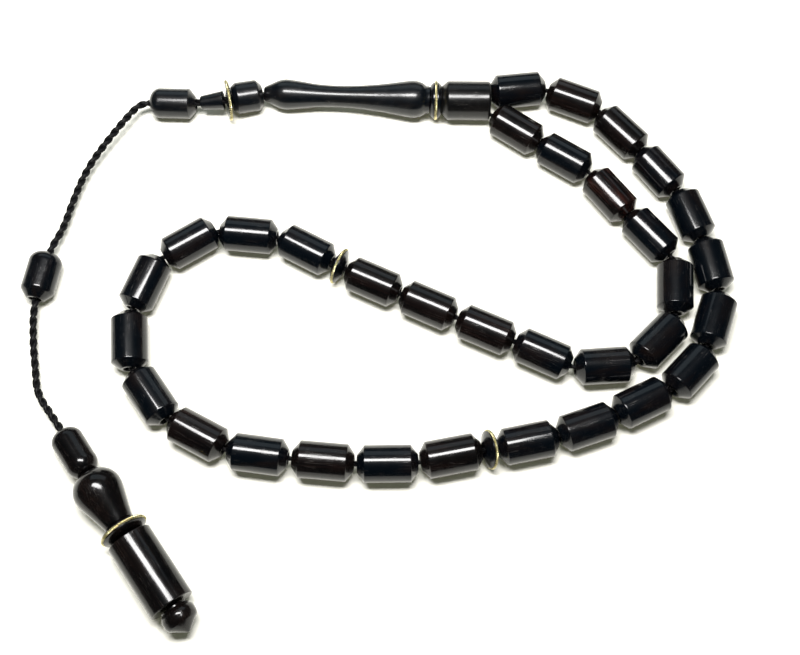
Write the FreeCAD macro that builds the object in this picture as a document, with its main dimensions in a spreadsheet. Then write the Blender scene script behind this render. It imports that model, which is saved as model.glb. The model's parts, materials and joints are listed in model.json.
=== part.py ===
import FreeCAD, Part
import math
import os
import Sketcher

# Misbaha (prayer beads): 33 turned barrel beads and two divider discs on a loop
# cord, a leader of turned pieces where both cord ends meet, then a free two-ply
# cord with one bead on it, and a turned tassel.  Millimetres, +Z up, lying on Z = 0.

os.makedirs("parts", exist_ok=True)
doc = FreeCAD.newDocument("misbaha")
V = FreeCAD.Vector

# ---------------------------------------------------------------- parameters
PARAMS = [
    ("origin_x", -4.917), ("origin_y", -1.443),
    ("bead_r", 4.0), ("bead_tip_r", 1.95), ("bead_cone", 1.55),
    ("bead_bore_r", 1.1), ("bead_mouth_r", 1.5), ("bead_mouth", 0.4),
    ("loop_cord_r", 0.45), ("loop_z", 4.0), ("cord_r", 0.85), ("free_cord_r", 0.85),
    ("chain_bore_r", 1.4), ("narrow_bore_r", 1.15), ("pill_bore_r", 1.3),
    ("div_half", 1.4), ("div_hub_r", 1.6), ("div_rim_r", 3.95), ("div_rim_w", 0.45),
    ("div_wire_r", 0.26), ("div_bore_r", 1.05),
    ("base_r", 4.55), ("base_left", 5.75), ("base_shoulder_l", 4.35), ("base_right", 5.7),
    ("base_shoulder_r", 5.35), ("base_left_r", 3.3), ("base_right_r", 4.2),
    ("base_cup_r", 3.88), ("base_cup_depth", 5.2), ("base_bore_r", 1.5), ("base_bore_len", 3.6),
    ("idisc_half", 1.3), ("idisc_hub_r", 3.6), ("idisc_rim_r", 4.2), ("idisc_rim_w", 0.6),
    ("idisc_wire_r", 0.28),
    ("body_len", 39.42), ("body_nose_r", 1.62), ("body_end_r", 3.1),
    ("collar_r", 3.65), ("collar_left", 3.7), ("collar_sl", 2.6), ("collar_sr", 2.4),
    ("collar_right", 3.6), ("collar_lr", 2.7), ("collar_rr", 2.3),
    ("cdisc_left", 0.45), ("cdisc_right", 0.75), ("cdisc_hub_l", 3.6), ("cdisc_hub_r", 2.6),
    ("cdisc_rim_r", 4.4), ("cdisc_wire_r", 0.28),
    ("tube_len", 5.42), ("tube_r1", 1.6), ("tube_r2", 2.2), ("tube_chamfer", 0.25),
    ("upill_r", 3.52), ("upill_len", 10.7),
    ("mid_r", 3.66), ("mid_len", 11.0),
    ("lpill_r", 3.35), ("lpill_len", 10.95),
    ("bulb_r", 5.12), ("bulb_len", 12.72), ("bulb_neck_r", 3.05),
    ("tdisc_half", 1.27), ("tdisc_hub_r", 3.3), ("tdisc_rim_r", 4.75), ("tdisc_rim_w", 0.5),
    ("tdisc_wire_r", 0.3),
    ("tcyl_r", 4.7), ("tcyl_len", 16.55), ("tcyl_edge", 0.15),
    ("ball_r", 3.62), ("ball_len", 5.85), ("ball_neck_r", 2.75), ("ball_neck_len", 0.35),
    ("ball_hole_r", 1.6), ("ball_hole_len", 3.5), ("knot_r", 1.5),
]
# centre x, centre y, heading of the bore in degrees, length of each bead in order round the loop
BEADS = [
    (27.01, 59.07, -172.7, 13.0), (40.36, 56.63, 158.7, 13.0), (51.11, 48.21, 132.7, 13.2),
    (59.34, 38.12, 127.9, 12.2), (66.01, 27.17, 109.6, 12.3), (69.73, 15.02, 101.0, 12.3),
    (69.35, 1.81, 71.1, 12.9), (63.24, -9.97, 46.8, 12.5), (52.29, -17.29, 26.5, 12.7),
    (40.31, -22.78, 19.7, 12.9), (27.55, -26.52, 12.4, 12.9), (11.29, -29.69, 11.9, 13.1),
    (-2.04, -31.63, 1.9, 12.9), (-15.63, -31.32, -3.8, 13.1), (-29.45, -30.22, -6.7, 12.9),
    (-42.47, -26.17, -26.6, 13.1), (-53.36, -17.95, -53.1, 13.0), (-59.09, -5.60, -83.4, 13.1),
    (-57.00, 7.90, -109.5, 13.0), (-47.89, 17.79, -146.6, 13.0), (-34.66, 20.08, 175.7, 13.0),
    (-21.44, 16.67, 153.1, 13.0), (-6.19, 9.27, 156.4, 12.9), (6.20, 3.91, 156.8, 12.9),
    (18.84, -1.50, 157.2, 13.1), (31.28, -6.71, 156.4, 12.9), (44.58, -9.19, -174.9, 12.8),
    (56.80, -3.08, -134.7, 13.2), (61.33, 9.57, -93.7, 12.8), (56.39, 22.02, -49.2, 12.9),
    (47.74, 31.92, -51.3, 12.9), (37.55, 41.19, -31.5, 12.9), (26.50, 48.45, -33.3, 12.9),
]
# divider discs: x, y, z, heading, lean (degrees about the local Y axis)
DIVIDERS = {"a": (19.465, -28.14, 4.10, 12.3, 15.0), "b": (-13.85, 12.85, 4.22, 155.0, 0.0)}

sheet = doc.addObject("Spreadsheet::Sheet", "params")
P = {}
row = 1
for name, value in PARAMS + [("bead_len_%02d" % (i + 1), b[3]) for i, b in enumerate(BEADS)]:
    sheet.set("A%d" % row, name)
    sheet.set("B%d" % row, "%.4f" % value)
    sheet.setAlias("B%d" % row, name)
    P[name] = value
    row += 1
doc.recompute()
OX, OY = P["origin_x"], P["origin_y"]


class Q:
    """A number together with the spreadsheet expression that gives it."""

    def __init__(self, value, text):
        self.v, self.t = value, text

    def __add__(self, o):
        o = q(o)
        return Q(self.v + o.v, "(%s + %s)" % (self.t, o.t))

    def __sub__(self, o):
        o = q(o)
        return Q(self.v - o.v, "(%s - %s)" % (self.t, o.t))

    def __mul__(self, o):
        o = q(o)
        return Q(self.v * o.v, "(%s * %s)" % (self.t, o.t))

    def __neg__(self):
        return Q(-self.v, "(0 - %s)" % self.t)


def q(x):
    if isinstance(x, Q):
        return x
    if isinstance(x, str):
        return Q(P[x], "params." + x)
    return Q(float(x), "%.5f" % x)


def pose(x, y, z, heading, lean=0.0):
    """Local +X is the bore axis; lean turns about local Y, positive tips the top towards +X."""
    r = FreeCAD.Rotation(V(0, 0, 1), heading).multiply(FreeCAD.Rotation(V(0, 1, 0), lean))
    return FreeCAD.Placement(V(x - OX, y - OY, z), r)


NODES = []


def new_body(label):
    body = doc.addObject("PartDesign::Body", "B_" + label)
    body.Label = label
    sk = doc.addObject("Sketcher::SketchObject", "S_" + label)
    body.addObject(sk)
    sk.AttachmentSupport = [(body.Origin.OriginFeatures[4], "")]
    sk.MapMode = "FlatFace"
    return body, sk


def pin_point(sk, geo, pos, x, y, names):
    for kind, c in (("DistanceX", q(x)), ("DistanceY", q(y))):
        if abs(c.v) < 1e-9:
            if kind == "DistanceY":
                sk.addConstraint(Sketcher.Constraint("PointOnObject", geo, pos, -1))
            else:
                sk.addConstraint(Sketcher.Constraint("PointOnObject", geo, pos, -2))
            continue
        if c.v > 0:
            i = sk.addConstraint(Sketcher.Constraint(kind, -1, 1, geo, pos, c.v))
            text = c.t
        else:
            i = sk.addConstraint(Sketcher.Constraint(kind, geo, pos, -1, 1, -c.v))
            text = "(0 - %s)" % c.t
        name = "d%d" % len(names)
        sk.renameConstraint(i, name)
        names.append((name, text))


def turned(label, outline, placement):
    """Revolve a closed half-section about the local X axis.  Outline: list of steps
    (x, r), ("arc", (mx, mr), (x, r)) or ("curve", [(x, r), ...], (x, r))."""
    body, sk = new_body(label)
    pts = [s if len(s) == 2 else s[2] for s in outline]
    n = len(outline)
    geos = []
    for i in range(n):
        a, step = pts[i], outline[(i + 1) % n]
        b = pts[(i + 1) % n]
        va, vb = V(q(a[0]).v, q(a[1]).v, 0), V(q(b[0]).v, q(b[1]).v, 0)
        if len(step) == 2:
            g = Part.LineSegment(va, vb)
            geos.append((sk.addGeometry(g, False), "line"))
        elif step[0] == "arc":
            m = V(q(step[1][0]).v, q(step[1][1]).v, 0)
            arc = Part.Arc(va, m, vb)
            gi = sk.addGeometry(arc, False)
            start = sk.getPoint(gi, 1)
            flip = start.distanceToPoint(va) > start.distanceToPoint(vb)
            geos.append((gi, "arc_flip" if flip else "arc"))
            sk.addConstraint(Sketcher.Constraint("Radius", gi, sk.Geometry[gi].Radius))
        else:
            c = Part.BSplineCurve()
            c.interpolate([va] + [V(q(x).v, q(y).v, 0) for x, y in step[1]] + [vb])
            geos.append((sk.addGeometry(c, False), "curve"))
    names = []
    for i in range(n):
        gi, kind = geos[i]
        gp, kp = geos[i - 1]
        here = 2 if kind == "arc_flip" else 1
        prev = 1 if kp == "arc_flip" else 2
        sk.addConstraint(Sketcher.Constraint("Coincident", gp, prev, gi, here))
        pin_point(sk, gi, here, pts[i][0], pts[i][1], names)
    for name, text in names:
        sk.setExpression("Constraints." + name, text)
    rev = doc.addObject("PartDesign::Revolution", "R_" + label)
    body.addObject(rev)
    rev.Profile = sk
    rev.ReferenceAxis = (sk, ["H_Axis"])
    rev.Angle = 360.0
    body.Tip = rev
    body.Placement = placement
    NODES.append(body)
    return body


def ring(label, major, minor, placement):
    body, sk = new_body(label)
    R, r = q(major), q(minor)
    g = sk.addGeometry(Part.Circle(V(0, R.v, 0), V(0, 0, 1), r.v), False)
    sk.addConstraint(Sketcher.Constraint("PointOnObject", g, 3, -2))
    i = sk.addConstraint(Sketcher.Constraint("DistanceY", -1, 1, g, 3, R.v))
    sk.renameConstraint(i, "major")
    j = sk.addConstraint(Sketcher.Constraint("Radius", g, r.v))
    sk.renameConstraint(j, "minor")
    sk.setExpression("Constraints.major", R.t)
    sk.setExpression("Constraints.minor", r.t)
    rev = doc.addObject("PartDesign::Revolution", "R_" + label)
    body.addObject(rev)
    rev.Profile = sk
    rev.ReferenceAxis = (sk, ["H_Axis"])
    rev.Angle = 360.0
    body.Tip = rev
    body.Placement = placement
    NODES.append(body)
    return body


def grooved_disc(label, left, right, hub_l, hub_r, rim, wide, wire, bore, placement):
    """Lens-faced disc with a square groove in its rim for the wire."""
    depth = q(wire) * 0.9
    floor = q(rim) - depth
    turned(label, [
        (-q(left), bore), (-q(left), hub_l), (-q(wide), rim), (-q(wire), rim), (-q(wire), floor),
        (wire, floor), (wire, rim), (wide, rim), (right, hub_r), (right, bore)], placement)
    return floor + q(wire)


# ---------------------------------------------------------------- beads of the loop
for i, (x, y, heading, length) in enumerate(BEADS):
    tag = "%02d" % (i + 1)
    h = q("bead_len_" + tag) * 0.5
    turned("bead_" + tag, [
        (-h, "bead_mouth_r"), (-h, "bead_tip_r"), (-(h - "bead_cone"), "bead_r"),
        (h - "bead_cone", "bead_r"), (h, "bead_tip_r"), (h, "bead_mouth_r"),
        (h - "bead_mouth", "bead_bore_r"), (-(h - "bead_mouth"), "bead_bore_r")],
        pose(x, y, P["bead_r"], heading))

for k, (x, y, z, heading, lean) in DIVIDERS.items():
    at = pose(x, y, z, heading, lean)
    major = grooved_disc("divider_disc_" + k, "div_half", "div_half", "div_hub_r", "div_hub_r",
                         "div_rim_r", "div_rim_w", "div_wire_r", "div_bore_r", at)
    ring("divider_wire_" + k, major, "div_wire_r", at)

# ---------------------------------------------------------------- leader (imame) chain
turned("imame_base_bead", [
    (-q("base_left"), "narrow_bore_r"), (-q("base_left"), "base_left_r"),
    (-q("base_shoulder_l"), "base_r"), ("base_shoulder_r", "base_r"),
    ("base_right", "base_right_r"), ("base_right", "base_cup_r"),
    (q("base_right") - "base_cup_depth", "base_bore_r"),
    (q("base_right") - "base_cup_depth" - "base_bore_len", "base_bore_r"),
    (q("base_right") - "base_cup_depth" - "base_bore_len", "narrow_bore_r")],
    pose(14.55, 55.62, 4.57, 0.6))

at = pose(7.42, 55.58, 4.50, 0.0)
major = grooved_disc("imame_disc", "idisc_half", "idisc_half", "idisc_hub_r", "idisc_hub_r",
                     "idisc_rim_r", "idisc_rim_w", "idisc_wire_r", "narrow_bore_r", at)
ring("imame_wire", major, "idisc_wire_r", at)

turned("imame_body", [
    (0.0, "narrow_bore_r"), (0.0, "body_nose_r"), (3.3, 3.2),
    ("curve", [(4.3, 3.46), (5.5, 3.56), (8.7, 3.22), (12.1, 2.76), (15.6, 2.55), (19.2, 2.55),
               (22.2, 2.7), (25.2, 2.98), (28.2, 3.32), (31.1, 3.76), (34.0, 4.22), (35.3, 4.35),
               (36.5, 4.26), (37.7, 3.9)], (38.6, 3.25)),
    ("body_len", "body_end_r"), ("body_len", "narrow_bore_r")],
    pose(-33.45, 57.15, 3.46, -2.1, -1.49))

chain = pose(-37.46, 55.92, 3.94, 16.0, 7.6)
turned("collar_bead", [
    (-q("collar_left"), "chain_bore_r"), (-q("collar_left"), "collar_lr"),
    (-q("collar_sl"), "collar_r"), ("collar_sr", "collar_r"),
    ("collar_right", "collar_rr"), ("collar_right", "chain_bore_r")], chain)

at = pose(-41.77, 54.38, 4.68, 14.0, 8.0)
major = grooved_disc("collar_disc", "cdisc_left", "cdisc_right", "cdisc_hub_l", "cdisc_hub_r",
                     "cdisc_rim_r", 0.4, "cdisc_wire_r", "chain_bore_r", at)
ring("collar_wire", major, "cdisc_wire_r", at)

turned("neck_tube", [
    (0.0, "narrow_bore_r"), (0.0, q("tube_r1") - "tube_chamfer"), ("tube_chamfer", "tube_r1"),
    ("tube_len", "tube_r2"), ("tube_len", "narrow_bore_r")],
    pose(-48.33, 53.95, 4.08, 6.5, -4.1))

turned("upper_pill_bead", [
    (0.0, "pill_bore_r"), (0.0, 1.8),
    ("arc", (0.75, 2.93), (2.1, "upill_r")), (q("upill_len") - 1.5, "upill_r"),
    ("upill_len", 1.65), ("upill_len", "pill_bore_r")],
    pose(-60.27, 53.95, 3.54, -0.3))

# ---------------------------------------------------------------- bead on the free cord
turned("mid_bead", [
    (0.0, "chain_bore_r"), (0.0, 1.9),
    ("arc", (0.75, 3.05), (2.2, "mid_r")), (q("mid_len") - 1.9, "mid_r"),
    ("mid_len", 1.95), ("mid_len", "chain_bore_r")],
    pose(-79.62, 14.55, 3.68, -98.3))

# ---------------------------------------------------------------- tassel, along one heading
TH = -52.7
TD = V(math.cos(math.radians(TH)), math.sin(math.radians(TH)), 0)
TB = V(-71.321, -26.263, 0)


def tassel(s, z, lean=0.0):
    p = TB + TD * s
    return pose(p.x, p.y, z, TH, lean)


turned("lower_pill_bead", [
    (0.0, "chain_bore_r"), (0.0, 1.9),
    ("arc", (0.75, 2.85), (2.2, "lpill_r")), (q("lpill_len") - 2.6, "lpill_r"),
    ("arc", (q("lpill_len") - 1.05, 2.97), ("lpill_len", 2.1)), ("lpill_len", "chain_bore_r")],
    tassel(0.0, 3.42, -5.6))

turned("tassel_bulb", [
    (0.0, "chain_bore_r"), (0.0, 2.3),
    ("arc", (1.15, 3.95), (4.1, "bulb_r")),
    ("curve", [(5.3, 5.0), (6.6, 4.68), (8.3, 4.2), (10.4, 3.62)], ("bulb_len", "bulb_neck_r")),
    ("bulb_len", "chain_bore_r")],
    tassel(11.35, 5.14))

at = tassel(25.79, 5.06, 6.0 * -1)
major = grooved_disc("tassel_disc", "tdisc_half", "tdisc_half", "tdisc_hub_r", "tdisc_hub_r",
                     "tdisc_rim_r", "tdisc_rim_w", "tdisc_wire_r", "chain_bore_r", at)
ring("tassel_wire", major, "tdisc_wire_r", at)

turned("tassel_cylinder", [
    (0.0, "chain_bore_r"), (0.0, q("tcyl_r") - "tcyl_edge"), ("tcyl_edge", "tcyl_r"),
    (q("tcyl_len") - "tcyl_edge", "tcyl_r"), ("tcyl_len", q("tcyl_r") - "tcyl_edge"),
    ("tcyl_len", "chain_bore_r")],
    tassel(27.56, 4.71))

BALL_S, BALL_Z, BALL_LEAN = 44.40, 4.42, 3.0
turned("tassel_end_ball", [
    (0.0, "ball_hole_r"), (0.0, "ball_neck_r"), ("ball_neck_len", "ball_neck_r"),
    ("arc", (0.95, 3.3), (2.5, "ball_r")), ("arc", (3.2, 3.53), (3.75, 3.28)),
    ("ball_len", 0.2), ("ball_len", 0.0), (q("ball_hole_len") + 0.5, 0.0),
    ("ball_hole_len", "ball_hole_r")],
    tassel(BALL_S, BALL_Z, BALL_LEAN))

knot = doc.addObject("Part::Sphere", "end_knot")
knot.Label = "end_knot"
knot.setExpression("Radius", "params.knot_r")
kp = TB + TD * (BALL_S + 1.75 * math.cos(math.radians(BALL_LEAN)))
knot.Placement = FreeCAD.Placement(
    V(kp.x - OX, kp.y - OY, BALL_Z - 1.75 * math.sin(math.radians(BALL_LEAN))), FreeCAD.Rotation())
NODES.append(knot)


# ---------------------------------------------------------------- cords
def rounded_path(points, radius_of):
    """Straight runs joined by tangent arcs.  Returns the wire, its length and the radii."""
    pts = [V(*p) for p in points]
    edges, radii, at_ = [], [], pts[0]
    for i in range(1, len(pts) - 1):
        u = (pts[i] - pts[i - 1]).normalize()
        w = (pts[i + 1] - pts[i]).normalize()
        turn = u.getAngle(w)
        short = min((pts[i] - pts[i - 1]).Length, (pts[i + 1] - pts[i]).Length)
        if turn < math.radians(0.3):
            continue
        k = math.tan(turn / 2)
        rad = min(radius_of(turn), 0.45 * short / k)
        a, b = pts[i] - u * (rad * k), pts[i] + w * (rad * k)
        bis = (w - u).normalize()
        centre = pts[i] + bis * (rad / math.cos(turn / 2))
        mid = centre - bis * rad
        if (a - at_).Length > 1e-4:
            edges.append(Part.makeLine(at_, a))
        edges.append(Part.Arc(a, mid, b).toShape())
        radii.append((round(rad, 2), round(math.degrees(turn), 1)))
        at_ = b
    edges.append(Part.makeLine(at_, pts[-1]))
    wire = Part.Wire(edges)
    return wire, wire.Length, radii


def tube(label, points, r, radius_of):
    pts = [(p[0] - OX, p[1] - OY, p[2]) for p in points]
    wire, length, radii = rounded_path(pts, radius_of)
    start = V(*pts[0])
    d = (V(*pts[1]) - start).normalize()
    prof = Part.Wire([Part.Circle(start, d, r).toShape()])
    solid = wire.makePipeShell([prof], True, True)
    if solid.Volume < 0:
        solid = solid.reversed()
    print("CORD %s length %.2f volume %.2f section*length %.2f min radius %.2f" % (
        label, length, solid.Volume, math.pi * r * r * length, min(x[0] for x in radii)))
    print("   radii (mm, turn deg):", radii)
    f = doc.addObject("Part::Feature", label)
    f.Label = label
    f.Shape = solid
    f.Placement = FreeCAD.Placement()
    NODES.append(f)
    return f


def tip(b, side):
    x, y, heading, length = b
    c, s = math.cos(math.radians(heading)), math.sin(math.radians(heading))
    return (x + side * length / 2 * c, y + side * length / 2 * s)


# Going round the loop the bore headings point back towards the leader, so +side faces the
# piece before and -side the piece after.
Z = P["loop_z"]
route = [(11.56, 56.09, Z), (15.0, 56.09, Z)]
first = tip(BEADS[0], 1)
route.append((first[0] - 0.4, first[1] - 0.05, Z))
for i in range(len(BEADS) - 1):
    # the corner lies as near both bore axes as it can, and near the middle of the gap
    a, b = tip(BEADS[i], -1), tip(BEADS[i + 1], 1)
    mx, my = (a[0] + b[0]) / 2, (a[1] + b[1]) / 2
    w = 0.06
    axx, axy, ayy, bx, by = w, 0.0, w, w * mx, w * my
    for bead in (BEADS[i], BEADS[i + 1]):
        n = (-math.sin(math.radians(bead[2])), math.cos(math.radians(bead[2])))
        c0 = n[0] * bead[0] + n[1] * bead[1]
        axx += n[0] * n[0]
        axy += n[0] * n[1]
        ayy += n[1] * n[1]
        bx += n[0] * c0
        by += n[1] * c0
    det = axx * ayy - axy * axy
    route.append(((ayy * bx - axy * by) / det, (axx * by - axy * bx) / det, Z))
last = tip(BEADS[-1], -1)
route.append((last[0] - 0.42, last[1] + 0.3, Z))
route += [(15.0, 55.15, Z), (11.56, 55.15, Z)]


def bore_radius(turn):
    k, g = math.tan(turn / 2), 0.3
    if k < 0.02:
        return 60.0
    return ((k * g + 0.36) + math.sqrt((k * g + 0.36) ** 2 - (k * g) ** 2)) / (2 * k * k)


tube("loop_cord", route, P["loop_cord_r"], bore_radius)
# how far the loop cord's straight runs lie from each bore axis, at the two tips
off = []
for i, b in enumerate(BEADS):
    c, s = math.cos(math.radians(b[2])), math.sin(math.radians(b[2]))
    for p in (route[i + 2], route[i + 3]):
        off.append(abs(-(p[0] - b[0]) * s + (p[1] - b[1]) * c))
print("corners at the dividers:", [round(c, 2) for c in route[13] + route[24]])
print("offsets of cord corners from the bore axes:", [round(o, 2) for o in off])

tube("imame_core_cord", [
    (11.55, 55.62, 4.50), (5.95, 55.66, 4.47), (-33.60, 57.13, 3.47), (-41.30, 54.82, 4.42),
    (-43.10, 54.38, 4.45), (-49.30, 53.96, 3.82), (-59.80, 53.93, 3.60)],
    P["cord_r"], lambda t: 6.0)

FREE = [(-59.83, 53.93, 3.599), (-61.99, 53.7, 3.75), (-63.89, 51.81, 4.25), (-66.6, 47.54, 4.35),
        (-70.05, 42.45, 3.85), (-73.48, 36.4, 3.3), (-75.84, 28.87, 2.85), (-77.25, 21.11, 2.95), (-79.45, 15.7, 3.55),
        (-81.35, 2.50, 3.60),
        (-80.95, -5.00, 2.20), (-79.60, -12.20, 1.70), (-78.35, -17.60, 2.00),
        (-74.30, -22.40, 2.90), (-71.109, -26.519, 3.4465)]
tube("tassel_cord", FREE, P["free_cord_r"], lambda t: 400.0)


def on_tassel(s, z):
    p = TB + TD * s
    return (p.x, p.y, z)


tube("tassel_core_cord", [
    (-71.091, -26.543, 3.45), on_tassel(11.2, 4.72), on_tassel(24.4, 5.02), on_tassel(27.2, 4.88),
    on_tassel(44.25, 4.44), on_tassel(BALL_S + 0.245, BALL_Z)],
    P["cord_r"], lambda t: 6.0)

# ---------------------------------------------------------------- checks and export
doc.recompute()
bad = [o.Name for o in doc.Objects if "Invalid" in o.State or "Error" in o.State]
if bad:
    raise SystemExit("features in error: %s" % bad)
box = FreeCAD.BoundBox()
box2 = FreeCAD.BoundBox()
for o in NODES:
    s = o.Shape
    if s.isNull() or not s.isValid() or len(s.Solids) != 1 or s.Volume <= 0:
        raise SystemExit("bad shape: %s" % o.Label)
    box.add(s.BoundBox)
    if o.Label != "tassel_cord":
        box2.add(s.optimalBoundingBox(True, False))
for o in NODES:
    o.Shape.exportStep("parts/%s.step" % o.Label)
for o in NODES:
    d = o.Placement.Rotation.multVec(V(1, 0, 0))
    b = o.Placement.Base
    print("POSE %s %.3f %.3f %.3f %.5f %.5f %.5f" % (o.Label, b.x, b.y, b.z, d.x, d.y, d.z))
print("nodes", len(NODES))
print("box without the free cord", box2)
print("centre to subtract: %.4f %.4f, z from %.4f" % (
    (box2.XMin + box2.XMax) / 2 + OX, (box2.YMin + box2.YMax) / 2 + OY, box2.ZMin))
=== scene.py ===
import json
import math

import bpy
from mathutils import Matrix, Vector

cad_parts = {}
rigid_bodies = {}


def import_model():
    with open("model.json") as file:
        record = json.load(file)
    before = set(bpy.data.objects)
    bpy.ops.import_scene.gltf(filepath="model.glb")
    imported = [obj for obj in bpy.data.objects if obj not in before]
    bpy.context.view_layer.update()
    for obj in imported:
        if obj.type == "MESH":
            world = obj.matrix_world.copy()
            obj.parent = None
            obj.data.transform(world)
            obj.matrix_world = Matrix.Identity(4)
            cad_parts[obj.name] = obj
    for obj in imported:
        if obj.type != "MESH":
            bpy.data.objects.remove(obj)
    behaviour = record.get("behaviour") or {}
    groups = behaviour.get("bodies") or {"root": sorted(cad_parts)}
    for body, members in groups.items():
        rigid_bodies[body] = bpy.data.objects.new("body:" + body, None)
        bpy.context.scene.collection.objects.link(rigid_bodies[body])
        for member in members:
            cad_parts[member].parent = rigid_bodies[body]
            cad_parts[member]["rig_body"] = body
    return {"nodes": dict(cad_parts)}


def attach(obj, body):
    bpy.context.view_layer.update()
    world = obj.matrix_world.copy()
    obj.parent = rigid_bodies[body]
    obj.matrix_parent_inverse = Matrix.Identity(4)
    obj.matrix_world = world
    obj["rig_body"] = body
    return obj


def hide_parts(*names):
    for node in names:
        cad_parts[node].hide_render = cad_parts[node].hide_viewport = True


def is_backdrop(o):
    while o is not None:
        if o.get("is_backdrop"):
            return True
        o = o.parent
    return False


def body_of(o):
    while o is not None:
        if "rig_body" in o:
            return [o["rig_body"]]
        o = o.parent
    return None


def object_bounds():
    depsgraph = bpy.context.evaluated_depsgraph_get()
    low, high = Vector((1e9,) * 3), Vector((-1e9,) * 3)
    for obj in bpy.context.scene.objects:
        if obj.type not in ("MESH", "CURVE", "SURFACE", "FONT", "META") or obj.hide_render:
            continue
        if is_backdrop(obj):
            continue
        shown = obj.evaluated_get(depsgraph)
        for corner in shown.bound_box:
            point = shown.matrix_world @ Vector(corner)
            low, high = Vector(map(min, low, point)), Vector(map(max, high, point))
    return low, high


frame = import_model()
NODES = frame["nodes"]
size = {"frame": [list(v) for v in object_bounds()]}
MM = 0.001

# ------------------------------------------------------------------ camera
scene = bpy.context.scene
scene.view_settings.view_transform = "Standard"
right = Vector((0.99980252, 0.01884577, 0.00630571))
up = Vector((-0.01987272, 0.94813638, 0.31724199))
back = right.cross(up)
cam_data = bpy.data.cameras.new("camera")
cam_data.sensor_fit = "HORIZONTAL"
cam_data.sensor_width = 36.0
cam_data.lens = 45.0
cam_data.clip_start = 0.005
cam_data.clip_end = 10.0
cam = bpy.data.objects.new("camera", cam_data)
scene.collection.objects.link(cam)
m = Matrix((right, up, back)).transposed().to_4x4()
m.translation = Vector((0.004917, -0.069759, 0.212801))
cam.matrix_world = m
scene.camera = cam

# ------------------------------------------------------------------ poses of the turned pieces (mm) and their bore axes
POSES = {
    "bead_01": (31.927, 60.513, 4.000, -0.99189, -0.12706, 0.00000),
    "bead_02": (45.277, 58.073, 4.000, -0.93169, 0.36325, 0.00000),
    "bead_03": (56.027, 49.653, 4.000, -0.67816, 0.73491, 0.00000),
    "bead_04": (64.257, 39.563, 4.000, -0.61429, 0.78908, 0.00000),
    "bead_05": (70.927, 28.613, 4.000, -0.33545, 0.94206, 0.00000),
    "bead_06": (74.647, 16.463, 4.000, -0.19081, 0.98163, 0.00000),
    "bead_07": (74.267, 3.253, 4.000, 0.32392, 0.94609, 0.00000),
    "bead_08": (68.157, -8.527, 4.000, 0.68455, 0.72897, 0.00000),
    "bead_09": (57.207, -15.847, 4.000, 0.89493, 0.44620, 0.00000),
    "bead_10": (45.227, -21.337, 4.000, 0.94147, 0.33710, 0.00000),
    "bead_11": (32.467, -25.077, 4.000, 0.97667, 0.21474, 0.00000),
    "bead_12": (16.207, -28.247, 4.000, 0.97851, 0.20620, 0.00000),
    "bead_13": (2.877, -30.187, 4.000, 0.99945, 0.03316, 0.00000),
    "bead_14": (-10.713, -29.877, 4.000, 0.99780, -0.06627, 0.00000),
    "bead_15": (-24.533, -28.777, 4.000, 0.99317, -0.11667, 0.00000),
    "bead_16": (-37.553, -24.727, 4.000, 0.89415, -0.44776, 0.00000),
    "bead_17": (-48.443, -16.507, 4.000, 0.60042, -0.79968, 0.00000),
    "bead_18": (-54.173, -4.157, 4.000, 0.11494, -0.99337, 0.00000),
    "bead_19": (-52.083, 9.343, 4.000, -0.33381, -0.94264, 0.00000),
    "bead_20": (-42.973, 19.233, 4.000, -0.83485, -0.55048, 0.00000),
    "bead_21": (-29.743, 21.523, 4.000, -0.99719, 0.07498, 0.00000),
    "bead_22": (-16.523, 18.113, 4.000, -0.89180, 0.45243, 0.00000),
    "bead_23": (-1.273, 10.713, 4.000, -0.91636, 0.40035, 0.00000),
    "bead_24": (11.117, 5.353, 4.000, -0.91914, 0.39394, 0.00000),
    "bead_25": (23.757, -0.057, 4.000, -0.92186, 0.38752, 0.00000),
    "bead_26": (36.197, -5.267, 4.000, -0.91636, 0.40035, 0.00000),
    "bead_27": (49.497, -7.747, 4.000, -0.99604, -0.08889, 0.00000),
    "bead_28": (61.717, -1.637, 4.000, -0.70339, -0.71080, 0.00000),
    "bead_29": (66.247, 11.013, 4.000, -0.06453, -0.99792, 0.00000),
    "bead_30": (61.307, 23.463, 4.000, 0.65342, -0.75700, 0.00000),
    "bead_31": (52.657, 33.363, 4.000, 0.62524, -0.78043, 0.00000),
    "bead_32": (42.467, 42.633, 4.000, 0.85264, -0.52250, 0.00000),
    "bead_33": (31.417, 49.893, 4.000, 0.83581, -0.54902, 0.00000),
    "divider_disc_a": (24.382, -26.697, 4.100, 0.94375, 0.20577, -0.25882),
    "divider_disc_b": (-8.933, 14.293, 4.220, -0.90631, 0.42262, 0.00000),
    "imame_base_bead": (19.467, 57.063, 4.570, 0.99995, 0.01047, 0.00000),
    "imame_disc": (12.337, 57.023, 4.500, 1.00000, 0.00000, 0.00000),
    "imame_body": (-28.533, 58.593, 3.460, 0.99899, -0.03663, 0.02600),
    "collar_bead": (-32.543, 57.363, 3.940, 0.95282, 0.27322, -0.13226),
    "collar_disc": (-36.853, 55.823, 4.680, 0.96085, 0.23957, -0.13917),
    "neck_tube": (-43.413, 55.393, 4.080, 0.99103, 0.11291, 0.07150),
    "upper_pill_bead": (-55.353, 55.393, 3.540, 0.99999, -0.00524, 0.00000),
    "mid_bead": (-74.703, 15.993, 3.680, -0.14436, -0.98953, 0.00000),
    "lower_pill_bead": (-66.404, -24.820, 3.420, 0.60310, -0.79168, 0.09758),
    "tassel_bulb": (-59.526, -33.849, 5.140, 0.60599, -0.79547, 0.00000),
    "tassel_disc": (-50.776, -45.335, 5.060, 0.60267, -0.79112, 0.10453),
    "tassel_cylinder": (-49.703, -46.743, 4.710, 0.60599, -0.79547, 0.00000),
    "tassel_end_ball": (-39.498, -60.139, 4.420, 0.60516, -0.79438, -0.05234),
}
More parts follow.
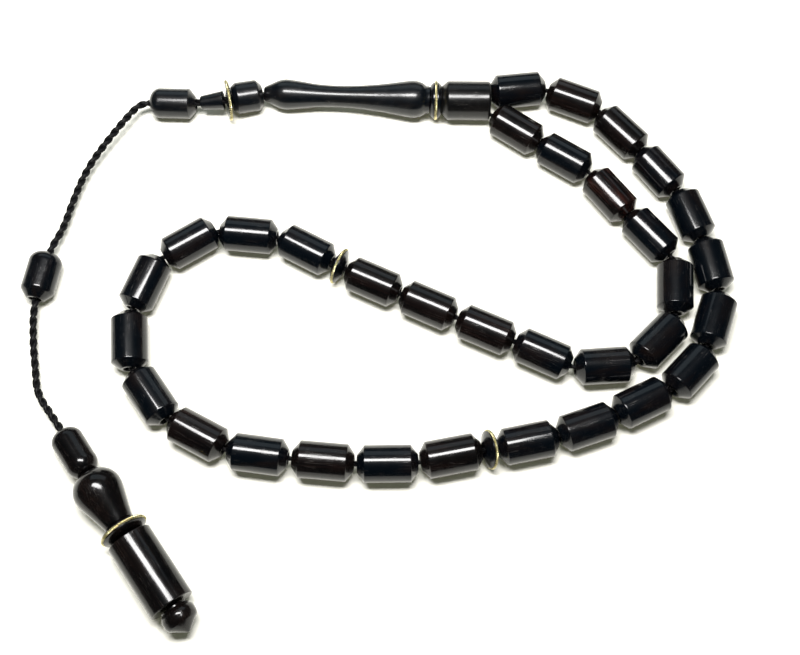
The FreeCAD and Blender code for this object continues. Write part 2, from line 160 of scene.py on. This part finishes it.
BEAD_LEN = [13.0, 13.0, 13.2, 12.2, 12.3, 12.3, 12.9, 12.5, 12.7, 12.9, 12.9, 13.1, 12.9, 13.1, 12.9, 13.1, 13.0, 13.1, 13.0, 13.0, 13.0, 13.0, 12.9, 12.9, 13.1, 12.9, 12.8, 13.2, 12.8, 12.9, 12.9, 12.9, 12.9]


def pose(name):
    x, y, z, ax, ay, az = POSES[name]
    e1 = Vector((ax, ay, az)).normalized()
    e3 = (Vector((0, 0, 1)) - e1 * e1.z).normalized()
    e2 = e3.cross(e1)
    mat = Matrix((e1, e2, e3)).transposed().to_4x4()
    mat.translation = Vector((x, y, z)) * MM
    return mat


def ride_like(obj, node):
    body = body_of(NODES[node])
    if isinstance(body, (list, tuple, set)):
        body = sorted(body)[0]
    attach(obj, body)


# ------------------------------------------------------------------ shader helpers
class Tree:
    def __init__(self, name):
        self.mat = bpy.data.materials.new(name)
        self.mat.use_nodes = True
        self.nt = self.mat.node_tree
        self.nt.nodes.clear()
        self.out = self.nt.nodes.new("ShaderNodeOutputMaterial")
        self.bsdf = self.nt.nodes.new("ShaderNodeBsdfPrincipled")
        self.nt.links.new(self.bsdf.outputs[0], self.out.inputs["Surface"])
        self.coord = self.nt.nodes.new("ShaderNodeTexCoord").outputs["Object"]
        seed = self.nt.nodes.new("ShaderNodeAttribute")
        seed.attribute_name = "seed"
        self.seed = seed.outputs["Fac"]

    def put(self, node, key, value):
        sock = node.inputs[key]
        if isinstance(value, bpy.types.NodeSocket):
            self.nt.links.new(value, sock)
        else:
            sock.default_value = value

    def scaled(self, scale, rot=(0, 0, 0)):
        n = self.nt.nodes.new("ShaderNodeMapping")
        self.put(n, "Vector", self.coord)
        self.put(n, "Scale", scale)
        self.put(n, "Rotation", rot)
        return n.outputs[0]

    def noise(self, vec, detail=3.0, rough=0.55, distort=0.0, shift=0.0):
        n = self.nt.nodes.new("ShaderNodeTexNoise")
        n.noise_dimensions = "4D"
        self.put(n, "Vector", vec)
        self.put(n, "W", self.math("ADD", self.seed, shift))
        self.put(n, "Scale", 1.0)
        self.put(n, "Detail", detail)
        self.put(n, "Roughness", rough)
        self.put(n, "Distortion", distort)
        return n.outputs["Fac"]

    def math(self, op, a, b=0.0, c=0.0):
        n = self.nt.nodes.new("ShaderNodeMath")
        n.operation = op
        self.put(n, 0, a)
        self.put(n, 1, b)
        self.put(n, 2, c)
        return n.outputs[0]

    def span(self, value, lo, hi, a=0.0, b=1.0):
        n = self.nt.nodes.new("ShaderNodeMapRange")
        n.clamp = True
        self.put(n, "Value", value)
        self.put(n, "From Min", lo)
        self.put(n, "From Max", hi)
        self.put(n, "To Min", a)
        self.put(n, "To Max", b)
        return n.outputs["Result"]

    def mix(self, fac, a, b):
        n = self.nt.nodes.new("ShaderNodeMix")
        n.data_type = "RGBA"
        self.put(n, 0, fac)
        for key, v in ((6, a), (7, b)):
            self.put(n, key, v if isinstance(v, bpy.types.NodeSocket) else tuple(v) + (1.0,))
        return n.outputs[2]

    def bump(self, height, distance, strength=1.0, normal=None):
        n = self.nt.nodes.new("ShaderNodeBump")
        self.put(n, "Height", height)
        self.put(n, "Distance", distance)
        self.put(n, "Strength", strength)
        if normal is not None:
            self.put(n, "Normal", normal)
        return n.outputs[0]

    def set(self, **kw):
        for k, v in kw.items():
            key = k.replace("_", " ")
            if not isinstance(v, bpy.types.NodeSocket) and isinstance(v, tuple) and len(v) == 3:
                v = v + (1.0,)
            self.put(self.bsdf, key, v)


def wood(name, dark, warm, cover, rough, coat, coat_rough, scratch, streak=0.0, spec=0.045):
    t = Tree(name)
    patch = t.noise(t.scaled((90, 260, 260)), 3.0, 0.55, 0.4)
    fibre = t.noise(t.scaled((140, 3600, 3600)), 4.0, 0.6, 0.0, 3.1)
    fine = t.noise(t.scaled((420, 9000, 9000)), 2.0, 0.5, 0.0, 7.7)
    wear = t.noise(t.scaled((380, 380, 380)), 4.0, 0.6, 0.2, 11.3)
    line = t.noise(t.scaled((70, 1900, 1900), (0.05, 0.06, 0.09)), 1.0, 0.5, 0.0, 17.9)
    near = t.math("ABSOLUTE", t.math("SUBTRACT", line, 0.5))
    scr = t.math("MULTIPLY", t.span(near, 0.0, 0.012, 1.0, 0.0), t.span(wear, 0.45, 0.62))
    area = t.math("MULTIPLY", t.span(patch, 1.0 - cover - 0.12, 1.0 - cover + 0.12), t.span(fibre, 0.3, 0.6, 0.35, 1.0))
    col = t.mix(area, dark, warm)
    if streak:
        col = t.mix(t.math("MULTIPLY", t.span(fibre, 0.52, 0.66), streak), col, tuple(min(1, c * 3.2) for c in warm))
    col = t.mix(t.math("MULTIPLY", scr, 0.35 * scratch), col, (0.06, 0.055, 0.05))
    t.set(Base_Color=col, IOR=1.5, Specular_IOR_Level=spec)
    r = t.math("ADD", t.span(wear, 0.3, 0.7, rough - 0.05, rough + 0.07), t.math("MULTIPLY", fine, 0.06))
    t.set(Roughness=r)
    t.set(Normal=t.bump(fibre, 0.000012, 0.35, t.bump(scr, -0.00001, 0.5 * scratch)))
    t.set(Coat_Weight=coat, Coat_IOR=1.4)
    t.set(Coat_Roughness=t.math("ADD", t.span(wear, 0.35, 0.75, coat_rough, coat_rough + 0.05), t.math("MULTIPLY", scr, 0.12 * scratch)))
    t.set(Coat_Normal=t.bump(t.math("ADD", fibre, t.math("MULTIPLY", wear, 0.5)), 0.000014, 0.5, t.bump(scr, -0.000008, 0.4 * scratch)))
    return t.mat


# the blue tint of this black is painted reflection of a bluish room; the near-black itself is the wood's own
COOL = (0.0006, 0.0015, 0.0028)
MATS = {
    "ebony_black": wood("ebony_black", COOL, (0.0055, 0.0032, 0.0026), 0.42, 0.34, 0.9, 0.09, 1.1),
    "ebony_brown": wood("ebony_brown", (0.0012, 0.0011, 0.0012), (0.0062, 0.0032, 0.0026), 0.45, 0.34, 0.9, 0.09, 1.1, 0.25),
    "ebony_red": wood("ebony_red", (0.0014, 0.0011, 0.0012), (0.024, 0.0062, 0.0040), 0.42, 0.34, 0.9, 0.09, 1.1, 0.2),
    "ebony_worn": wood("ebony_worn", (0.0011, 0.0012, 0.0015), (0.0035, 0.0030, 0.0028), 0.5, 0.32, 0.75, 0.17, 1.5, 0.15, 0.09),
    "ebony_satin": wood("ebony_satin", COOL, (0.005, 0.0036, 0.003), 0.4, 0.36, 0.8, 0.15, 1.3, 0.0, 0.14),
    "ebony_tassel": wood("ebony_tassel", (0.0010, 0.0010, 0.0012), (0.0055, 0.0034, 0.0027), 0.45, 0.30, 0.85, 0.10, 1.2, 0.25),
}


def gilt():
    t = Tree("gilt_wire")
    a = t.noise(t.scaled((900, 900, 900)), 4.0, 0.6)
    b = t.noise(t.scaled((5200, 5200, 5200)), 3.0, 0.55, 0.0, 4.0)
    col = t.mix(t.span(a, 0.4, 0.66), (0.84, 0.76, 0.44), (0.36, 0.31, 0.12))
    t.set(Base_Color=col, Metallic=1.0)
    t.set(Roughness=t.span(b, 0.3, 0.7, 0.2, 0.38))
    t.set(Normal=t.bump(b, 0.00001, 0.5))
    return t.mat


def cord_mat():
    t = Tree("black_cord")
    a = t.noise(t.scaled((1400, 1400, 1400)), 4.0, 0.6)
    b = t.noise(t.scaled((9000, 9000, 9000)), 3.0, 0.6, 0.0, 5.0)
    col = t.mix(t.span(a, 0.35, 0.7), (0.0010, 0.0011, 0.0014), (0.0042, 0.0041, 0.0046))
    t.set(Base_Color=col, IOR=1.45, Specular_IOR_Level=0.16)
    t.set(Roughness=t.span(b, 0.3, 0.7, 0.38, 0.6))
    t.set(Sheen_Weight=0.012, Sheen_Roughness=0.4)
    t.set(Normal=t.bump(b, 0.00003, 0.5))
    return t.mat


MATS["gilt_wire"] = gilt()
MATS["black_cord"] = cord_mat()


def mesh_object(name, verts, faces, mat, seed, uvs=None):
    me = bpy.data.meshes.new(name)
    me.from_pydata(verts, [], faces)
    me.polygons.foreach_set("use_smooth", [True] * len(me.polygons))
    att = me.attributes.new("seed", "FLOAT", "POINT")
    att.data.foreach_set("value", [seed] * len(verts))
    if uvs:
        layer = me.uv_layers.new(name="UVMap")
        layer.data.foreach_set("uv", uvs)
    me.update()
    o = bpy.data.objects.new(name, me)
    scene.collection.objects.link(o)
    me.materials.append(mat)
    return o


# ------------------------------------------------------------------ lathe
def spline(points, step=0.35):
    """Catmull-Rom samples through the points, both ends included."""
    pts = [Vector(p) for p in points]
    out = []
    for i in range(len(pts) - 1):
        p0 = pts[max(i - 1, 0)]
        p1, p2 = pts[i], pts[i + 1]
        p3 = pts[min(i + 2, len(pts) - 1)]
        n = max(2, int((p2 - p1).length / step))
        t0, d = 0.0, [max((b - a).length, 1e-6) ** 0.5 for a, b in ((p0, p1), (p1, p2), (p2, p3))]
        for j in range(n):
            t = j / n
            m1 = (p2 - p0) / 2 if i else (p2 - p1)
            m2 = (p3 - p1) / 2 if i < len(pts) - 2 else (p2 - p1)
            if i:
                m1 = (p2 - p0) * ((p2 - p1).length / max((p2 - p1).length + (p1 - p0).length, 1e-6))
            if i < len(pts) - 2:
                m2 = (p3 - p1) * ((p2 - p1).length / max((p2 - p1).length + (p3 - p2).length, 1e-6))
            a = p1 * (2 * t ** 3 - 3 * t ** 2 + 1) + m1 * (t ** 3 - 2 * t ** 2 + t)
            b = p2 * (-2 * t ** 3 + 3 * t ** 2) + m2 * (t ** 3 - t ** 2)
            out.append((a + b)[:2])
    out.append(tuple(pts[-1][:2]))
    return out


def soften(profile, closed=True):
    """Corners of (x, r, setback) rounded, with support rings beside each rounding."""
    n = len(profile)
    out = []
    for i, p in enumerate(profile):
        f = p[2] if len(p) > 2 else 0.0
        if not closed and i in (0, n - 1):
            out.append((p[0], p[1]))
            continue
        a, c, b = (Vector((q[0], q[1])) for q in (profile[i - 1], p, profile[(i + 1) % n]))
        if f <= 0:
            out.append((c.x, c.y))
            continue
        la, lb = (a - c).length, (b - c).length
        s = min(f, 0.42 * la, 0.42 * lb)
        pa, pb = c + (a - c) * (s / la), c + (b - c) * (s / lb)
        e = min(0.12, 0.3 * (min(la, lb) - s))
        out.append(tuple(pa + (a - c).normalized() * e))
        for k in range(6):
            t = k / 5
            out.append(tuple(pa * (1 - t) ** 2 + c * 2 * t * (1 - t) + pb * t * t))
        out.append(tuple(pb + (b - c).normalized() * e))
    return out


def lathe(node, profile, mat, seed, seg=72, closed=True, wobble=0.0):
    prof = soften(profile, closed)
    verts, faces, uvs = [], [], []
    m = len(prof)
    for x, r in prof:
        for j in range(seg):
            a = 2 * math.pi * j / seg
            rr = max(r, 0.004)
            rr *= 1.0 - wobble * (0.5 + 0.5 * math.sin(2 * a + seed))
            verts.append((x * MM, rr * math.cos(a) * MM, rr * math.sin(a) * MM))
    for i in range(m if closed else m - 1):
        k = (i + 1) % m
        for j in range(seg):
            l = (j + 1) % seg
            faces.append((i * seg + j, k * seg + j, k * seg + l, i * seg + l))
            v0, v1, u0, u1 = i / m, (i + 1) / m, j / seg, (j + 1) / seg
            uvs += [u0, v0, u0, v1, u1, v1, u1, v0]
    o = mesh_object("turned_" + node, verts, faces, MATS[mat], seed, uvs)
    o.matrix_world = pose(node)
    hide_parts(node)
    ride_like(o, node)
    return o


def wire(node, disc, major, r, turns, seed):
    """Two strands of gilt wire twisted together and closed round the rim."""
    verts, faces = [], []
    per, cs = 14, 8
    n = turns * per
    for k in range(2):
        base = len(verts)
        for i in range(n):
            th = 2 * math.pi * i / n
            ph = turns * th + math.pi * k
            er = Vector((0, math.cos(th), math.sin(th)))
            et = Vector((0, -math.sin(th), math.cos(th)))
            slope = (r / 2) * turns / major
            c = Vector((math.cos(ph) * r * 0.62, 0, 0)) + er * (major + 0.02 + math.sin(ph) * r * 0.5)
            tan = (et + (Vector((-math.sin(ph), 0, 0)) + er * math.cos(ph)) * slope).normalized()
            n1 = (er - tan * er.dot(tan)).normalized()
            n2 = tan.cross(n1)
            for j in range(cs):
                a = 2 * math.pi * j / cs
                verts.append(tuple((c + (n1 * math.cos(a) + n2 * math.sin(a)) * r * 0.56) * MM))
        for i in range(n):
            for j in range(cs):
                a, b = base + i * cs, base + ((i + 1) % n) * cs
                l = (j + 1) % cs
                faces.append((a + j, b + j, b + l, a + l))
    o = mesh_object("twisted_" + node, verts, faces, MATS["gilt_wire"], seed)
    o.matrix_world = pose(disc)
    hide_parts(node)
    ride_like(o, node)
    return o


# ------------------------------------------------------------------ cords
ORIGIN = Vector((4.917, 1.443, 0.0))


def centreline(points, name):
    cu = bpy.data.curves.new(name, "CURVE")
    cu.dimensions = "3D"
    cu.resolution_u = 40
    sp = cu.splines.new("NURBS")
    sp.points.add(len(points) - 1)
    for p, q in zip(sp.points, points):
        v = (Vector(q) + ORIGIN) * MM
        p.co = (v.x, v.y, v.z, 1.0)
    sp.order_u = 3
    sp.use_endpoint_u = True
    o = bpy.data.objects.new(name, cu)
    scene.collection.objects.link(o)
    bpy.context.view_layer.update()
    me = bpy.data.meshes.new_from_object(o)
    pts = [v.co.copy() for v in me.vertices]
    bpy.data.meshes.remove(me)
    bpy.data.objects.remove(o)
    bpy.data.curves.remove(cu)
    return pts


def resample(pts, step):
    out, d = [pts[0].copy()], 0.0
    acc = step
    for a, b in zip(pts, pts[1:]):
        seg = (b - a).length
        while d + seg >= acc and seg > 0:
            out.append(a + (b - a) * ((acc - d) / seg))
            acc += step
        d += seg
    out.append(pts[-1].copy())
    return out, d


def rope(name, pts, r, pitch, hand, seed, start=0.0):
    """Two plies laid together along the line; each ply shows its own threads."""
    line, length = resample(pts, 0.00016)
    n = len(line)
    tang = [(line[min(i + 1, n - 1)] - line[max(i - 1, 0)]).normalized() for i in range(n)]
    nor = Vector((0, 0, 1)) - tang[0] * tang[0].z
    nor.normalize()
    frames = []
    for i in range(n):
        nor = (nor - tang[i] * nor.dot(tang[i])).normalized()
        frames.append((nor.copy(), tang[i].cross(nor)))
    verts, faces = [], []
    cs, off, pr = 20, 0.455, 0.56
    for k in range(2):
        base = len(verts)
        for i in range(n):
            s = i * 0.00016
            tw = hand * 2 * math.pi * s / pitch + math.pi * k + start
            n1, n2 = frames[i]
            d = n1 * math.cos(tw) + n2 * math.sin(tw)
            e = n2 * math.cos(tw) - n1 * math.sin(tw)
            c = line[i] + d * (r * off)
            loose = 1.0 + 0.03 * math.sin(s * 2100 + 2.1 * k) + 0.02 * math.sin(s * 5300 + k)
            for j in range(cs):
                a = 2 * math.pi * j / cs
                thread = 1.0 + 0.05 * math.cos(4 * a - hand * 2 * math.pi * s / (pitch * 0.55))
                q = r * pr * thread * loose
                verts.append(tuple(c + d * (math.cos(a) * q * 0.92) + e * (math.sin(a) * q * 1.12)))
        for i in range(n - 1):
            for j in range(cs):
                a, b = base + i * cs, base + (i + 1) * cs
                l = (j + 1) % cs
                faces.append((a + j, a + l, b + l, b + j))
        faces.append(tuple(base + j for j in reversed(range(cs))))
        faces.append(tuple(base + (n - 1) * cs + j for j in range(cs)))
    o = mesh_object(name, verts, faces, MATS["black_cord"], seed)
    return o, length


FREE = [(-59.83, 53.93, 3.599), (-61.99, 53.7, 3.75), (-63.89, 51.81, 4.25), (-66.6, 47.54, 4.35),
        (-70.05, 42.45, 3.85), (-73.48, 36.4, 3.3), (-75.84, 28.87, 2.85), (-77.25, 21.11, 2.95), (-79.45, 15.7, 3.55),
        (-81.35, 2.50, 3.60),
        (-80.95, -5.00, 2.20), (-79.60, -12.20, 1.70), (-78.35, -17.60, 2.00),
        (-74.30, -22.40, 2.90), (-71.109, -26.519, 3.4465)]
free_pts = centreline(FREE, "free_route")
tassel_rope, free_len = rope("tassel_rope", free_pts, 0.87 * MM, 4.7 * MM, 1, 0.4, 0.6)
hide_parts("tassel_cord")
ride_like(tassel_rope, "tassel_cord")
print("free cord length", round(free_len, 5))

CORE = [(11.55, 55.62, 4.50), (5.95, 55.66, 4.47), (-33.60, 57.13, 3.47), (-41.30, 54.82, 4.42),
        (-43.10, 54.38, 4.45), (-49.30, 53.96, 3.82), (-59.80, 53.93, 3.60)]
core, _ = rope("leader_rope", centreline(CORE, "core_route"), 0.85 * MM, 4.3 * MM, 1, 1.4)
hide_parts("imame_core_cord")
ride_like(core, "imame_core_cord")
TH = math.radians(-52.7)

BEADS = [
    (27.01, 59.07, -172.7, 13.0), (40.36, 56.63, 158.7, 13.0), (51.11, 48.21, 132.7, 13.2),
    (59.34, 38.12, 127.9, 12.2), (66.01, 27.17, 109.6, 12.3), (69.73, 15.02, 101.0, 12.3),
    (69.35, 1.81, 71.1, 12.9), (63.24, -9.97, 46.8, 12.5), (52.29, -17.29, 26.5, 12.7),
    (40.31, -22.78, 19.7, 12.9), (27.55, -26.52, 12.4, 12.9), (11.29, -29.69, 11.9, 13.1),
    (-2.04, -31.63, 1.9, 12.9), (-15.63, -31.32, -3.8, 13.1), (-29.45, -30.22, -6.7, 12.9),
    (-42.47, -26.17, -26.6, 13.1), (-53.36, -17.95, -53.1, 13.0), (-59.09, -5.60, -83.4, 13.1),
    (-57.00, 7.90, -109.5, 13.0), (-47.89, 17.79, -146.6, 13.0), (-34.66, 20.08, 175.7, 13.0),
    (-21.44, 16.67, 153.1, 13.0), (-6.19, 9.27, 156.4, 12.9), (6.20, 3.91, 156.8, 12.9),
    (18.84, -1.50, 157.2, 13.1), (31.28, -6.71, 156.4, 12.9), (44.58, -9.19, -174.9, 12.8),
    (56.80, -3.08, -134.7, 13.2), (61.33, 9.57, -93.7, 12.8), (56.39, 22.02, -49.2, 12.9),
    (47.74, 31.92, -51.3, 12.9), (37.55, 41.19, -31.5, 12.9), (26.50, 48.45, -33.3, 12.9),
]


def bead_tip(b, side):
    x, y, heading, length = b
    a = math.radians(heading)
    return (x + side * length / 2 * math.cos(a), y + side * length / 2 * math.sin(a))


def loop_route():
    """The loop cord's corners: near both bore axes and near the middle of each gap."""
    z = 4.0
    first = bead_tip(BEADS[0], 1)
    route = [(11.56, 56.09, z), (15.0, 56.09, z), (first[0] - 0.4, first[1] - 0.05, z)]
    for b0, b1 in zip(BEADS, BEADS[1:]):
        a, b = bead_tip(b0, -1), bead_tip(b1, 1)
        mx, my, w = (a[0] + b[0]) / 2, (a[1] + b[1]) / 2, 0.06
        axx, axy, ayy, bx, by = w, 0.0, w, w * mx, w * my
        for bead in (b0, b1):
            n = (-math.sin(math.radians(bead[2])), math.cos(math.radians(bead[2])))
            c0 = n[0] * bead[0] + n[1] * bead[1]
            axx, axy, ayy = axx + n[0] * n[0], axy + n[0] * n[1], ayy + n[1] * n[1]
            bx, by = bx + n[0] * c0, by + n[1] * c0
        det = axx * ayy - axy * axy
        route.append(((ayy * bx - axy * by) / det, (axx * by - axy * bx) / det, z))
    last = bead_tip(BEADS[-1], -1)
    return route + [(last[0] - 0.42, last[1] + 0.3, z), (15.0, 55.15, z), (11.56, 55.15, z)]


def rounded(points, setback):
    pts = [(Vector(q) + ORIGIN) * MM for q in points]
    out = [pts[0]]
    for a, c, b in zip(pts, pts[1:], pts[2:]):
        t = min(setback * MM, 0.45 * (a - c).length, 0.45 * (b - c).length)
        pa, pb = c + (a - c).normalized() * t, c + (b - c).normalized() * t
        for k in range(7):
            u = k / 6
            out.append(pa * (1 - u) ** 2 + c * (2 * u * (1 - u)) + pb * u * u)
    return out + [pts[-1]]


loop, _ = rope("loop_rope", rounded(loop_route(), 0.9), 0.6 * MM, 3.2 * MM, 1, 3.4)
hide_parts("loop_cord")
ride_like(loop, "loop_cord")


def on_tassel(s, z):
    return (-71.321 + math.cos(TH) * s, -26.263 + math.sin(TH) * s, z)


TCORE = [(-71.091, -26.543, 3.45), on_tassel(11.2, 4.72), on_tassel(24.4, 5.02), on_tassel(27.2, 4.88),
         on_tassel(44.25, 4.44), on_tassel(44.645, 4.42)]
tcore, _ = rope("tassel_inner_rope", centreline(TCORE, "tcore_route"), 0.85 * MM, 4.3 * MM, 1, 2.4)
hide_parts("tassel_core_cord")
ride_like(tcore, "tassel_core_cord")

# ------------------------------------------------------------------ turned pieces
BROWN = {2, 3, 12, 14, 16, 23, 24, 25, 31, 33}
for i, length in enumerate(BEAD_LEN):
    h = length / 2
    k = i + 1
    f = 0.16 + 0.05 * math.sin(k * 2.3)
    lathe("bead_%02d" % k, [
        (-h, 1.5, 0.08), (-h, 1.95, 0.12), (-(h - 1.55), 3.985, f), (0.0, 4.0, 0.0), (h - 1.55, 3.985, f),
        (h, 1.95, 0.12), (h, 1.5, 0.08), (h - 0.4, 1.1, 0.1), (-(h - 0.4), 1.1, 0.1)],
        "ebony_red" if k == 31 else "ebony_brown" if k in BROWN else "ebony_black", k * 3.7)


def disc(node, left, right, hub_l, hub_r, rim, wide, wr, bore, mat, seed):
    floor = rim - 0.9 * wr
    lathe(node, [
        (-left, bore, 0.05), (-left, hub_l, 0.25), (-wide, rim, 0.08), (-wr, rim, 0.02), (-wr, floor, 0.0),
        (wr, floor, 0.0), (wr, rim, 0.02), (wide, rim, 0.08), (right, hub_r, 0.25), (right, bore, 0.05)],
        mat, seed, seg=96)


for k, s in (("a", 140.0), ("b", 150.0)):
    disc("divider_disc_" + k, 1.4, 1.4, 1.6, 1.6, 3.95, 0.45, 0.26, 1.05, "ebony_black", s)
    wire("divider_wire_" + k, "divider_disc_" + k, 3.95 + 0.026, 0.26, 22, s + 1)

lathe("imame_base_bead", [
    (-5.75, 1.15, 0.1), (-5.75, 3.3, 0.25), (-4.35, 4.55, 0.4), (5.35, 4.55, 0.18), (5.7, 4.2, 0.15),
    (5.7, 3.88, 0.1), (0.5, 1.5, 0.1), (-3.1, 1.5, 0.0), (-3.1, 1.15, 0.0)], "ebony_worn", 160.0, seg=96)
disc("imame_disc", 1.3, 1.3, 3.6, 3.6, 4.2, 0.6, 0.28, 1.15, "ebony_black", 170.0)
wire("imame_wire", "imame_disc", 4.2 + 0.028, 0.28, 23, 171.0)
body_curve = spline([(3.3, 3.2), (4.3, 3.46), (5.5, 3.56), (8.7, 3.22), (12.1, 2.76), (15.6, 2.55), (19.2, 2.55),
                     (22.2, 2.7), (25.2, 2.98), (28.2, 3.32), (31.1, 3.76), (34.0, 4.22), (35.3, 4.35),
                     (36.5, 4.26), (37.7, 3.9), (38.6, 3.25)])
lathe("imame_body", [(0.0, 1.15, 0.05), (0.0, 1.62, 0.12)] + body_curve + [(39.54, 3.1, 0.1), (39.54, 1.15, 0.05)],
      "ebony_satin", 180.0, seg=96)
lathe("collar_bead", [
    (-3.7, 1.4, 0.05), (-3.7, 2.7, 0.2), (-2.6, 3.65, 0.3), (2.4, 3.65, 0.3), (3.6, 2.3, 0.2), (3.6, 1.4, 0.05)],
    "ebony_satin", 190.0, seg=96)
disc("collar_disc", 0.45, 0.75, 3.6, 2.6, 4.4, 0.4, 0.28, 1.4, "ebony_black", 200.0)
wire("collar_wire", "collar_disc", 4.4 + 0.028, 0.28, 24, 201.0)
lathe("neck_tube", [
    (0.0, 1.15, 0.05), (0.0, 1.35, 0.05), (0.25, 1.6, 0.1), (5.42, 2.2, 0.06), (5.42, 1.15, 0.05)],
    "ebony_satin", 210.0)


def arc(a, b, c, n=10):
    """Points of the circle through a, b and c, from a to c."""
    (x1, y1), (x2, y2), (x3, y3) = a, b, c
    d = 2 * (x1 * (y2 - y3) + x2 * (y3 - y1) + x3 * (y1 - y2))
    ux = ((x1 ** 2 + y1 ** 2) * (y2 - y3) + (x2 ** 2 + y2 ** 2) * (y3 - y1) + (x3 ** 2 + y3 ** 2) * (y1 - y2)) / d
    uy = ((x1 ** 2 + y1 ** 2) * (x3 - x2) + (x2 ** 2 + y2 ** 2) * (x1 - x3) + (x3 ** 2 + y3 ** 2) * (x2 - x1)) / d
    r = math.hypot(x1 - ux, y1 - uy)
    a0, a1 = math.atan2(y1 - uy, x1 - ux), math.atan2(y3 - uy, x3 - ux)
    while a1 - a0 > math.pi:
        a1 -= 2 * math.pi
    while a1 - a0 < -math.pi:
        a1 += 2 * math.pi
    return [(ux + r * math.cos(a0 + (a1 - a0) * i / n), uy + r * math.sin(a0 + (a1 - a0) * i / n)) for i in range(n + 1)]


lathe("upper_pill_bead", [(0.0, 1.3, 0.05)] + arc((0.0, 1.8), (0.75, 2.93), (2.1, 3.52))
      + [(2.4, 3.52), (9.0, 3.52), (9.2, 3.52, 0.5), (10.7, 1.65, 0.2), (10.7, 1.3, 0.05)], "ebony_satin", 220.0, seg=96)
lathe("mid_bead", [(0.0, 1.4, 0.05)] + arc((0.0, 1.9), (0.75, 3.05), (2.2, 3.66))
      + [(2.5, 3.66), (9.1, 3.66, 0.5), (11.0, 1.95, 0.2), (11.0, 1.4, 0.05)], "ebony_black", 230.0, seg=96)
lathe("lower_pill_bead", [(0.0, 1.4, 0.05)] + arc((0.0, 1.9), (0.75, 2.85), (2.2, 3.35))
      + [(2.5, 3.35), (8.0, 3.35)] + arc((8.35, 3.35), (9.9, 2.97), (10.95, 2.1)) + [(10.95, 1.4, 0.05)],
      "ebony_tassel", 240.0, seg=96)
bulb_curve = spline([(4.1, 5.12), (5.3, 5.0), (6.6, 4.68), (8.3, 4.2), (10.4, 3.62), (12.72, 3.05)])
lathe("tassel_bulb", [(0.0, 1.4, 0.05)] + arc((0.0, 2.3), (1.15, 3.95), (4.1, 5.12), 16)[:-1] + bulb_curve
      + [(12.72, 1.4, 0.05)], "ebony_tassel", 250.0, seg=96)
disc("tassel_disc", 1.27, 1.27, 3.3, 3.3, 4.75, 0.5, 0.3, 1.4, "ebony_tassel", 260.0)
wire("tassel_wire", "tassel_disc", 4.75 + 0.03, 0.3, 25, 261.0)
lathe("tassel_cylinder", [
    (0.0, 1.4, 0.05), (0.0, 4.55, 0.05), (0.15, 4.7, 0.06), (16.4, 4.7, 0.06), (16.55, 4.55, 0.05), (16.55, 1.4, 0.05)],
    "ebony_tassel", 270.0, seg=112)
lathe("tassel_end_ball", [(3.5, 0.0), (3.5, 1.6, 0.0), (0.0, 1.6, 0.05), (0.0, 2.75, 0.08), (0.35, 2.75, 0.05)]
      + arc((0.37, 2.76), (0.95, 3.3), (2.5, 3.62)) + arc((2.5, 3.62), (3.2, 3.53), (3.75, 3.28))[1:]
      + [(5.85, 0.2, 0.08), (5.85, 0.0)], "ebony_tassel", 280.0, seg=96, closed=False)

# ------------------------------------------------------------------ CAD nodes that stay shown
for name, node in NODES.items():
    if node.hide_render or node.type != "MESH":
        continue
    for s in node.material_slots:
        key = s.material.name.split(".")[0] if s.material else "black_cord"
        s.material = MATS.get(key, MATS["black_cord"])
    node.data.polygons.foreach_set("use_smooth", [True] * len(node.data.polygons))

# ------------------------------------------------------------------ floor and light
def floor():
    t = Tree("floor_white")
    a = t.noise(t.scaled((30, 30, 30)), 3.0, 0.5)
    t.set(Base_Color=(0.94, 0.93, 0.86), Roughness=t.span(a, 0.3, 0.7, 0.75, 0.85))
    t.set(Normal=t.bump(a, 0.0001, 0.05))
    # the floor glows by emission as painted light: weak and yellow near the middle, which paints the contact shadows
    # olive, and strong and near white far out, as if lit by a wide sweep, so it stays pale past the soft light's reach
    dist = t.nt.nodes.new("ShaderNodeVectorMath")
    dist.operation = "LENGTH"
    t.put(dist, 0, t.coord)
    far = t.span(dist.outputs["Value"], 0.10, 0.55)
    # yellow near the middle: painted olive tint in the shadows; white far out: painted fill light
    t.set(Emission_Color=t.mix(t.span(far, 0.0, 0.15), (1.0, 0.98, 0.62), (1.0, 0.995, 0.98)))
    t.set(Emission_Strength=t.span(far, 0.0, 1.0, 0.07, 0.98))
    t.set(Specular_IOR_Level=0.1)
    s = 1.5
    me = bpy.data.meshes.new("floor")
    me.from_pydata([(-s, -s, 0), (s, -s, 0), (s, s, 0), (-s, s, 0)], [], [(0, 1, 2, 3)])
    me.materials.append(t.mat)
    o = bpy.data.objects.new("floor", me)
    scene.collection.objects.link(o)
    o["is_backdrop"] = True
    return o


floor_obj = floor()
lo = Vector(size["frame"][0])
floor_obj.location.z = min(0.0, lo.z)


def area(name, loc, target, w, h, watts, colour):
    li = bpy.data.lights.new(name, "AREA")
    li.shape = "RECTANGLE"
    li.size, li.size_y = w, h
    li.energy = watts
    li.color = colour
    o = bpy.data.objects.new(name, li)
    o.location = loc
    o.rotation_euler = (Vector(target) - Vector(loc)).to_track_quat("-Z", "Y").to_euler()
    scene.collection.objects.link(o)
    return o


area("key", (-0.020, 0.030, 0.275), (-0.020, 0.030, 0.0), 0.18, 0.068, 1.66, (1.0, 0.99, 0.98))
area("wall", (0.0, 0.60, 0.40), (0.0, 0.0, 0.0), 0.9, 0.35, 0.85, (0.78, 0.92, 1.0))

world = bpy.data.worlds.new("world")
world.use_nodes = True
world.node_tree.nodes["Background"].inputs[0].default_value = (0.85, 1.0, 1.05, 1.0)
world.node_tree.nodes["Background"].inputs[1].default_value = 0.035
scene.world = world

size["scene"] = [list(v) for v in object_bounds()]
